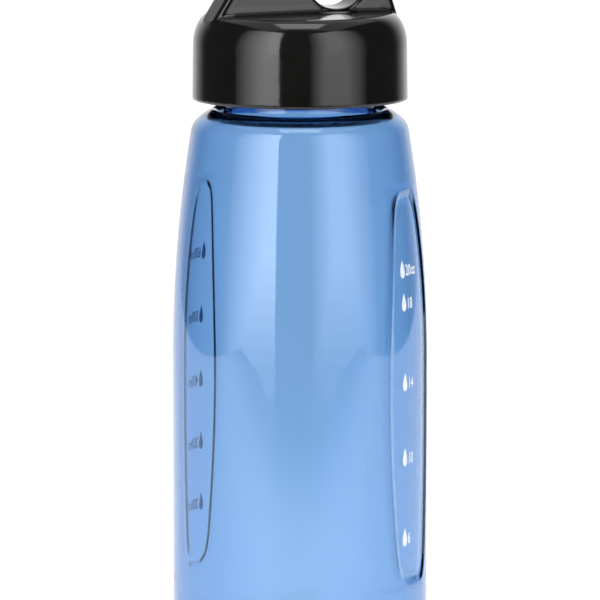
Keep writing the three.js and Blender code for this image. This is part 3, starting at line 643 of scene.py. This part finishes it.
INK_LIFT = 0.06
DROP_HEIGHT, DROP_RADIUS = 5.8, 1.55
DROP_TIP = 0.16                  # how wide it is at its very tip,
DROP_SWELL = 0.98                # how much wider at its bottom,
DROP_SHOULDER = 0.75             # and how early it widens
DIGIT_HEIGHT = 3.6
DIGIT_UNITS = 0.73               # the height of a digit in the font's own units
DIGIT_NARROWING = 0.72
TEXT_RAISE = 0.8                 # from the drop's bottom up to the text's
STROKE_GAIN = 0.022              # thickens the strokes, in the font's units

# The panel's angle, the drop's and text's places along the surface, and each mark's height and text.
OUNCE_MARKS = (PANEL_ANGLE, -5.3, -3.5,
               [(129.3, "20oz"), (118.7, "18"), (93.1, "14"), (68.9, "10"), (43.0, "6")])
MILLILITRE_MARKS = (PANEL_ANGLE + 180, -4.5, -2.5,
                    [(130.6, "600ml"), (109.6, "500ml"), (88.6, "400ml"), (68.2, "300ml"),
                     (48.2, "200ml")])


def drop_outline(count=28):
    """A falling drop: a round bottom that draws up to a point."""
    angles = np.linspace(0, 2 * math.pi, count, endpoint=False)
    up = -np.cos(angles) * DROP_HEIGHT / 2
    lowness = (1 + np.cos(angles)) / 2
    across = DROP_RADIUS * np.sin(angles) * (DROP_TIP + DROP_SWELL * lowness ** DROP_SHOULDER)
    return np.stack([across, up], axis=1)


def text_mesh(words):
    """Flat triangles of some words in the font's units, starting at the origin."""
    curve = bpy.data.curves.new("words", "FONT")
    curve.body = words
    curve.offset = STROKE_GAIN
    curve.resolution_u = 3
    holder = bpy.data.objects.new("words", curve)
    bpy.context.scene.collection.objects.link(holder)
    bpy.context.view_layer.update()
    mesh = bpy.data.meshes.new_from_object(holder.evaluated_get(bpy.context.evaluated_depsgraph_get()))
    points = np.array([vertex.co[:2] for vertex in mesh.vertices])
    faces = [list(polygon.vertices) for polygon in mesh.polygons]
    bpy.data.objects.remove(holder)
    bpy.data.curves.remove(curve)
    bpy.data.meshes.remove(mesh)
    return points, faces


def on_panel(points, panel_angle, height):
    """Flat points, along the surface and up, laid on the sunk face of a grip panel."""
    z = height + points[:, 1]
    share = np.maximum(z - TAPER_START, 0) / (SHOULDER - TAPER_START)
    radius = RADIUS - TAPER * share ** 2
    angle = math.radians(panel_angle) + points[:, 0] / radius
    radius = radius - panel_depth(angle, z, radius) + INK_LIFT
    return np.stack([radius * np.cos(angle), radius * np.sin(angle), z], axis=1)


def printed_marks(name, panel_angle, drop_place, text_place, marks):
    """One column of drops with their volumes, as ink on a grip panel."""
    vertices, faces = [], []
    drop = drop_outline()
    scale = DIGIT_HEIGHT / DIGIT_UNITS

    def add(points, polygons, height):
        start = sum(len(v) for v in vertices)
        vertices.append(on_panel(points, panel_angle, height))
        faces.extend([[start + i for i in polygon] for polygon in polygons])

    for height, words in marks:
        add(drop + [drop_place, 0], [list(range(len(drop)))], height)
        letters, polygons = text_mesh(words)
        letters = letters * [scale * DIGIT_NARROWING, scale]
        add(letters + [text_place, -DROP_HEIGHT / 2 + TEXT_RAISE], polygons, height)
    ink = new_object(name, np.concatenate(vertices), faces, smooth=False)
    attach(ink, "bottle")
    return ink


# ------------------------------------------------------------------ materials

# The noise values at which the roughness and the colour reach their two ends.
ROUGHNESS_NOISE = (0.3, 0.7)
COLOUR_NOISE = (0.35, 0.65)


def srgb(*channels):
    """A colour given in 0 to 255 screen values, as the linear colour that shaders take."""
    values = [c / 255 for c in channels]
    return tuple(v / 12.92 if v <= 0.04045 else ((v + 0.055) / 1.055) ** 2.4 for v in values) + (1.0,)


def new_material(name):
    """A material with its nodes, its links and its shader."""
    material = bpy.data.materials.new(name)
    material.use_nodes = True
    nodes = material.node_tree.nodes
    return material, nodes, material.node_tree.links, nodes["Principled BSDF"]


def noise(nodes, links, scale, detail=3.0, stretch=(1, 1, 1)):
    """A noise texture in the object's own space, drawn out along its axes by `stretch`."""
    coordinates = nodes.new("ShaderNodeTexCoord")
    mapping = nodes.new("ShaderNodeMapping")
    mapping.inputs["Scale"].default_value = stretch
    texture = nodes.new("ShaderNodeTexNoise")
    texture.inputs["Scale"].default_value = scale
    texture.inputs["Detail"].default_value = detail
    links.new(coordinates.outputs["Object"], mapping.inputs["Vector"])
    links.new(mapping.outputs["Vector"], texture.inputs["Vector"])
    return texture


def map_range(nodes, links, source, target, starts, ends, easing="LINEAR"):
    """Feeds a socket with another's value, spread from between two starts to between two ends."""
    spread = nodes.new("ShaderNodeMapRange")
    spread.interpolation_type = easing
    for name, value in zip(("From Min", "From Max", "To Min", "To Max"), (*starts, *ends)):
        spread.inputs[name].default_value = value
    links.new(source, spread.inputs["Value"])
    links.new(spread.outputs["Result"], target)


def roughened(nodes, links, shader, texture, low, high):
    """Roughness that drifts between two values."""
    map_range(nodes, links, texture.outputs["Fac"], shader.inputs["Roughness"], ROUGHNESS_NOISE,
              (low, high))


def mottled(nodes, links, shader, texture, dark, light):
    """Base colour that drifts between two close colours."""
    blend = nodes.new("ShaderNodeValToRGB")
    for stop, place, colour in zip(blend.color_ramp.elements, COLOUR_NOISE, (dark, light)):
        stop.position = place
        stop.color = colour
    links.new(texture.outputs["Fac"], blend.inputs["Fac"])
    links.new(blend.outputs["Color"], shader.inputs["Base Color"])


def bumped(nodes, links, shader, texture, strength, distance):
    """Unevenness too fine to be modelled, `distance` metres deep."""
    bump = nodes.new("ShaderNodeBump")
    bump.inputs["Strength"].default_value = strength
    bump.inputs["Distance"].default_value = distance
    links.new(texture.outputs["Fac"], bump.inputs["Height"])
    links.new(bump.outputs["Normal"], shader.inputs["Normal"])


def clear_blue():
    """Tinted copolyester: clear, deeply coloured by its thickness, with faint moulding waves."""
    material, nodes, links, shader = new_material("clear_blue_copolyester")
    shader.inputs["Base Color"].default_value = (1, 1, 1, 1)
    shader.inputs["Transmission Weight"].default_value = 1.0
    shader.inputs["IOR"].default_value = 1.55
    grain = noise(nodes, links, 60, 2.0)
    roughened(nodes, links, shader, grain, 0.012, 0.03)
    waves = noise(nodes, links, 26, 1.0, (1, 1, 0.25))
    bumped(nodes, links, shader, waves, 0.12, 0.0006)
    volume = nodes.new("ShaderNodeVolumeAbsorption")
    volume.inputs["Color"].default_value = (0.0, 0.405, 0.745, 1.0)
    volume.inputs["Density"].default_value = 440.0
    links.new(volume.outputs["Volume"], nodes["Material Output"].inputs["Volume"])
    return material


def gloss_black():
    """Polished black polypropylene, with a little orange peel and handling haze."""
    material, nodes, links, shader = new_material("gloss_black_plastic")
    cloud = noise(nodes, links, 45, 4.0)
    mottled(nodes, links, shader, cloud, srgb(11, 11, 10), srgb(17, 17, 16))
    haze = noise(nodes, links, 130, 4.0)
    roughened(nodes, links, shader, haze, 0.07, 0.12)
    shader.inputs["IOR"].default_value = 1.5
    peel = noise(nodes, links, 320, 2.0)
    bumped(nodes, links, shader, peel, 0.06, 0.0003)
    return material


def satin_black():
    """Moulded black plastic with a fine spark texture."""
    material, nodes, links, shader = new_material("satin_black_plastic")
    cloud = noise(nodes, links, 70, 4.0)
    mottled(nodes, links, shader, cloud, srgb(30, 30, 29), srgb(42, 42, 40))
    grain = noise(nodes, links, 1600, 2.0)
    roughened(nodes, links, shader, grain, 0.32, 0.46)
    bumped(nodes, links, shader, grain, 0.25, 0.0002)
    return material


def silicone():
    """Milky translucent silicone with a dusty surface."""
    material, nodes, links, shader = new_material("grey_silicone")
    cloud = noise(nodes, links, 240, 4.0)
    mottled(nodes, links, shader, cloud, srgb(186, 190, 193), srgb(214, 217, 219))
    shader.inputs["Subsurface Weight"].default_value = 0.3
    shader.inputs["Subsurface Radius"].default_value = (0.001, 0.001, 0.001)
    dust = noise(nodes, links, 900, 3.0)
    roughened(nodes, links, shader, dust, 0.45, 0.7)
    bumped(nodes, links, shader, dust, 0.15, 0.0002)
    return material


def drawn_steel():
    """Bright stainless wire and pin, with drawing lines along the fin's depth."""
    material, nodes, links, shader = new_material("drawn_steel")
    lines = noise(nodes, links, 500, 3.0, (1, 0.05, 1))
    mottled(nodes, links, shader, lines, srgb(168, 170, 172), srgb(206, 207, 208))
    shader.inputs["Metallic"].default_value = 1.0
    roughened(nodes, links, shader, lines, 0.18, 0.34)
    bumped(nodes, links, shader, lines, 0.2, 0.0001)
    return material


def white_ink():
    """Screen-printed white ink, slightly uneven."""
    material, nodes, links, shader = new_material("white_ink")
    cloud = noise(nodes, links, 900, 4.0)
    mottled(nodes, links, shader, cloud, srgb(226, 232, 238), srgb(244, 247, 250))
    roughened(nodes, links, shader, cloud, 0.4, 0.6)
    return material


def give(material, *pieces):
    """Puts one material on some pieces, in place of any that they have."""
    for piece in pieces:
        piece.data.materials.clear()
        piece.data.materials.append(material)


# ------------------------------------------------------------------ stage, lights and camera

# Metres and degrees.
CAMERA_AZIMUTH = -23.0           # from -Y, where the fin's front faces, and negative to its left
CAMERA_ELEVATION = 7.3
CAMERA_DISTANCE = 2.5
CAMERA_RANGE = (0.05, 50)
SENSOR = 36
VIEW_WIDTH = 0.1929              # what the picture spans at the bottle's axis
AIM_HEIGHT = 0.1167

TABLE_FRONT = 0.60               # from the bottle to the table's edge nearest the camera
TABLE_SHADE_START = 0.25                # and to where its painted shade starts
TABLE_SIDE = 0.85
TABLE_SHOULDER = 1.1             # behind the bottle, where the table starts to widen
TABLE_BACK = 6.0
TABLE_DROP = 0.00005             # keeps its top clear of the bottle's standing ring
TABLE_WHITE = (0.5, 0.92)        # base colour and emission behind the painted shade,
TABLE_PAINTED_SHADE = (0.0, 0.02)         # and at the front edge, where the painted shade is darkest

SOFTBOX_SHEETS = 9
SOFTBOX_DISTANCE = 1.0
SOFTBOX_BOTTOMS = (-0.08, 0.15)  # of the lowest and the highest sheet
SOFTBOX_TOP = 1.22

# It is dark at the first of these cosines from straight behind the bottle, and bright at the second.
SURROUND_FACING = (0.52, 0.95)
SURROUND_STRENGTH = (0.06, 1.15)


def toward(azimuth, elevation=0.0):
    """The direction from the bottle at an azimuth right of its front, in degrees."""
    a, e = math.radians(azimuth), math.radians(elevation)
    return Vector((math.sin(a) * math.cos(e), -math.cos(a) * math.cos(e), math.sin(e)))


def look_at(holder, target):
    """Turns a camera or a light toward a point."""
    holder.rotation_euler = (Vector(target) - holder.location).to_track_quat("-Z", "Y").to_euler()


def add_camera():
    """The photograph's view: from far away, a little above the middle."""
    data = bpy.data.cameras.new("camera")
    data.sensor_width = SENSOR
    data.lens = SENSOR * CAMERA_DISTANCE / VIEW_WIDTH
    data.clip_start, data.clip_end = CAMERA_RANGE
    camera = bpy.data.objects.new("camera", data)
    target = Vector((0, 0, AIM_HEIGHT))
    camera.location = target + toward(CAMERA_AZIMUTH, CAMERA_ELEVATION) * CAMERA_DISTANCE
    look_at(camera, target)
    bpy.context.scene.collection.objects.link(camera)
    bpy.context.scene.camera = camera


def softbox(name, widest, narrowest, radiance):
    """A soft light beside the camera, `radiance` times as bright as white where it is full.

    It is a stack of equal sheets that shrink from the widest to the narrowest pair of azimuths, and
    from the lowest to the highest bottom edge, so that it fades out instead of ending.
    """
    low, high = SOFTBOX_BOTTOMS
    for number in range(SOFTBOX_SHEETS):
        share = number / (SOFTBOX_SHEETS - 1)
        start, end, bottom = (a + (b - a) * share for a, b in zip((*widest, low), (*narrowest, high)))
        width = 2 * SOFTBOX_DISTANCE * math.tan(math.radians(end - start) / 2)
        sheet(f"{name}_{number}", (start + end) / 2, 0, SOFTBOX_DISTANCE, (bottom + SOFTBOX_TOP) / 2,
              (width, SOFTBOX_TOP - bottom), radiance / SOFTBOX_SHEETS)


def sheet(name, azimuth, elevation, distance, height, size, radiance):
    """A flat light at an azimuth from the camera's, which faces the axis at a height."""
    data = bpy.data.lights.new(name, "AREA")
    data.shape = "RECTANGLE"
    data.size, data.size_y = size
    data.energy = radiance * math.pi * size[0] * size[1]
    light = bpy.data.objects.new(name, data)
    light.location = toward(CAMERA_AZIMUTH + azimuth, elevation) * distance
    light.location.z += height
    look_at(light, (0, 0, height))
    light.visible_camera = False
    bpy.context.scene.collection.objects.link(light)


def add_lights():
    """Two soft lights beside the camera, one above the bottle and a wide, dim ceiling."""
    softbox("left_softbox", widest=(-71, -22), narrowest=(-34, -22), radiance=4.7)
    softbox("right_softbox", widest=(11, 74), narrowest=(29, 46), radiance=2.7)
    sheet("top_softbox", azimuth=0, elevation=80, distance=1.10, height=0.0, size=(0.50, 0.50),
          radiance=3.0)
    sheet("ceiling", azimuth=180, elevation=86, distance=1.60, height=0.0, size=(2.20, 2.20),
          radiance=0.6)


def add_world():
    """A surround that is bright straight behind the bottle and falls to dark all round that."""
    world = bpy.data.worlds.new("surround")
    world.use_nodes = True
    nodes, links = world.node_tree.nodes, world.node_tree.links
    background = nodes["Background"]
    coordinates = nodes.new("ShaderNodeTexCoord")
    facing = nodes.new("ShaderNodeVectorMath")
    facing.operation = "DOT_PRODUCT"
    facing.inputs[1].default_value = -toward(CAMERA_AZIMUTH)
    links.new(coordinates.outputs["Generated"], facing.inputs[0])
    map_range(nodes, links, facing.outputs["Value"], background.inputs["Strength"], SURROUND_FACING,
              SURROUND_STRENGTH, "SMOOTHSTEP")
    background.inputs["Color"].default_value = (1, 1, 1, 1)
    bpy.context.scene.world = world


def add_floor():
    """A pale table top that reaches far behind the bottle and ends in front of it."""
    ahead, aside = toward(CAMERA_AZIMUTH), toward(CAMERA_AZIMUTH + 90)
    corners = [ahead * y + aside * x - Vector((0, 0, TABLE_DROP)) for x, y in (
        (-TABLE_SIDE, TABLE_FRONT), (TABLE_SIDE, TABLE_FRONT), (TABLE_SIDE, -TABLE_SHOULDER),
        (TABLE_BACK / 2, -TABLE_BACK), (-TABLE_BACK / 2, -TABLE_BACK), (-TABLE_SIDE, -TABLE_SHOULDER))]
    floor = new_object("floor", [list(corner / MM) for corner in corners], [range(6)])
    give(pale_floor_painted_shade(ahead), floor)


def pale_floor_painted_shade(ahead):
    """White paper whose colour and glow fall to painted shade toward the table's front edge."""
    material, nodes, links, shader = new_material("pale_floor_painted_shade")
    coordinates = nodes.new("ShaderNodeTexCoord")
    reach = nodes.new("ShaderNodeVectorMath")
    reach.operation = "DOT_PRODUCT"
    reach.inputs[1].default_value = ahead
    links.new(coordinates.outputs["Object"], reach.inputs[0])
    # Base colour and emission sink from white to painted shade toward the front edge.
    for name, white, dark in zip(("Base Color", "Emission Strength"), TABLE_WHITE, TABLE_PAINTED_SHADE):
        map_range(nodes, links, reach.outputs["Value"], shader.inputs[name], (TABLE_SHADE_START, TABLE_FRONT),
                  (white, dark), "SMOOTHSTEP")
    shader.inputs["Roughness"].default_value = 0.6
    shader.inputs["Emission Color"].default_value = (1, 1, 1, 1)
    return material


# ------------------------------------------------------------------ the scene


def build():
    """The visual pieces, and a material for each of them and for the CAD pieces that are kept."""
    skin = bottle_skin()
    ounces = printed_marks("ounce_marks", *OUNCE_MARKS)
    millilitres = printed_marks("millilitre_marks", *MILLILITRE_MARKS)
    shell, cover = cap_pieces()
    node = frame["nodes"]
    give(clear_blue(), skin)
    give(white_ink(), ounces, millilitres)
    give(gloss_black(), shell, cover, node["release_button"])
    give(satin_black(), node["cap_liner"], node["drinking_nozzle"])
    give(silicone(), node["cap_gasket"], node["nozzle_gasket"], node["vent_valve"], node["cover_plug"])
    give(drawn_steel(), node["hinge_pin"], node["cover_spring"], node["button_spring"])


add_camera()
add_lights()
add_world()
add_floor()
build()
scene = bpy.context.scene
scene.view_settings.view_transform = "Standard"
scene.cycles.max_bounces = 24             # light passes through the clear wall many times
scene.cycles.transmission_bounces = 20
